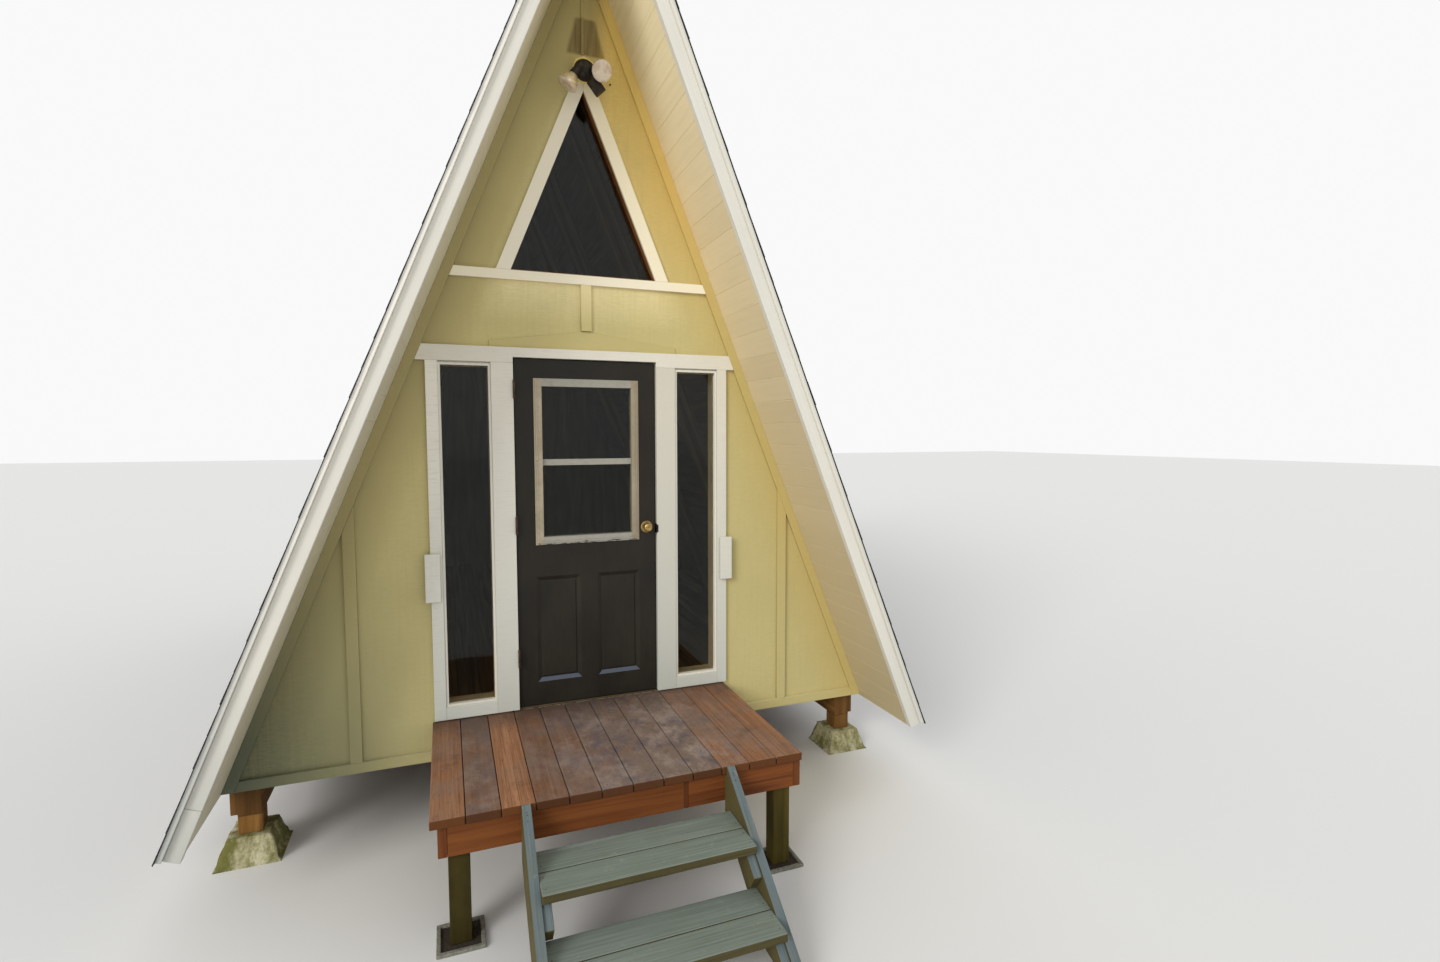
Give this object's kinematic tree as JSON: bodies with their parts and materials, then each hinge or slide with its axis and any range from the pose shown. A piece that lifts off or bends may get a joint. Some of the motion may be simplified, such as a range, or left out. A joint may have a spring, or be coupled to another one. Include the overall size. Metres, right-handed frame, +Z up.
{
  "type": "a-frame cabin",
  "caption": "Small A-frame cabin with steep shingled roof, glazed gable, panelled door between sidelights, wooden entry deck and steps.",
  "frame": {"origin": "ground level under the middle of the plan, stair and roof overhangs included", "axes": "+Z up, -Y out of the front wall and down the stair, +X to the right of someone facing the door"},
  "size_m": [3.899, 7.4276, 5.2053],
  "materials": {
    "concrete": "weathered cast concrete",
    "post_wood": "weathered olive-brown timber",
    "framing": "bare softwood",
    "soffit": "cream stain on grooved planks",
    "shingle": "black mineral shingles",
    "barge": "cream paint",
    "siding": "khaki stain on rough plywood",
    "white_trim": "warm white paint",
    "reveal": "clear finish",
    "glass": "clear",
    "oak": "worn varnish",
    "door_paint": "near-black satin paint",
    "old_sash": "flaking off-white paint",
    "brass": "polished",
    "hinge": "brown tarnished steel",
    "deck_wood": "reddish stain",
    "stair_wood": "grey-green weathered timber",
    "bronze": "dark bronze",
    "bulb_glass": "clear front over a silvered reflector"
  },
  "bodies": {
    "cabin": {"pier_blocks": "concrete", "pier_posts": "post_wood", "girders": "post_wood", "floor_joists": "framing", "floor_boards": "framing", "rafters": "framing", "roof_planks": "soffit", "roof_sheathing": "soffit", "shingles": "shingle", "ridge_cap": "shingle", "barge_boards": "barge", "barge_trim": "barge", "front_wall_left": "siding", "front_wall_right": "siding", "front_wall_sill": "siding", "front_wall_posts": "siding", "front_wall_over_entry": "siding", "front_gable_wings": "siding", "front_wall_trim": "siding", "rear_wall": "siding", "rear_gable_wings": "siding", "rear_wall_trim": "siding", "gable_window_casings": "white_trim", "gable_window_frames": "reveal", "gable_window_glass": "glass", "entry_casing": "white_trim", "casing_blocks": "white_trim", "sidelight_frames": "white_trim", "sidelight_glass": "glass", "door_frame": "white_trim", "threshold": "oak", "hinge_frame_plates": "hinge", "deck_boards": "deck_wood", "deck_frame": "deck_wood", "deck_posts": "post_wood", "deck_collars": "concrete", "stair_stringers": "stair_wood", "stair_treads": "stair_wood", "stair_cleats": "stair_wood", "light_box": "siding", "light_canopy": "bronze", "lamp_holders": "bronze", "flood_bulbs": "bulb_glass", "motion_sensor": "bronze"},
    "door": {"door_leaf": "door_paint", "door_sash": "old_sash", "door_glass": "glass", "door_knobs": "brass", "hinge_leaf_plates": "hinge"}
  },
  "joints": [
    {"name": "door_hinge", "type": "hinge", "parent": "cabin", "child": "door", "pos_m": [-0.4089, -1.8212, 1.6], "axis": [0, 0, -1], "range_deg": [0, 125]}
  ]
}
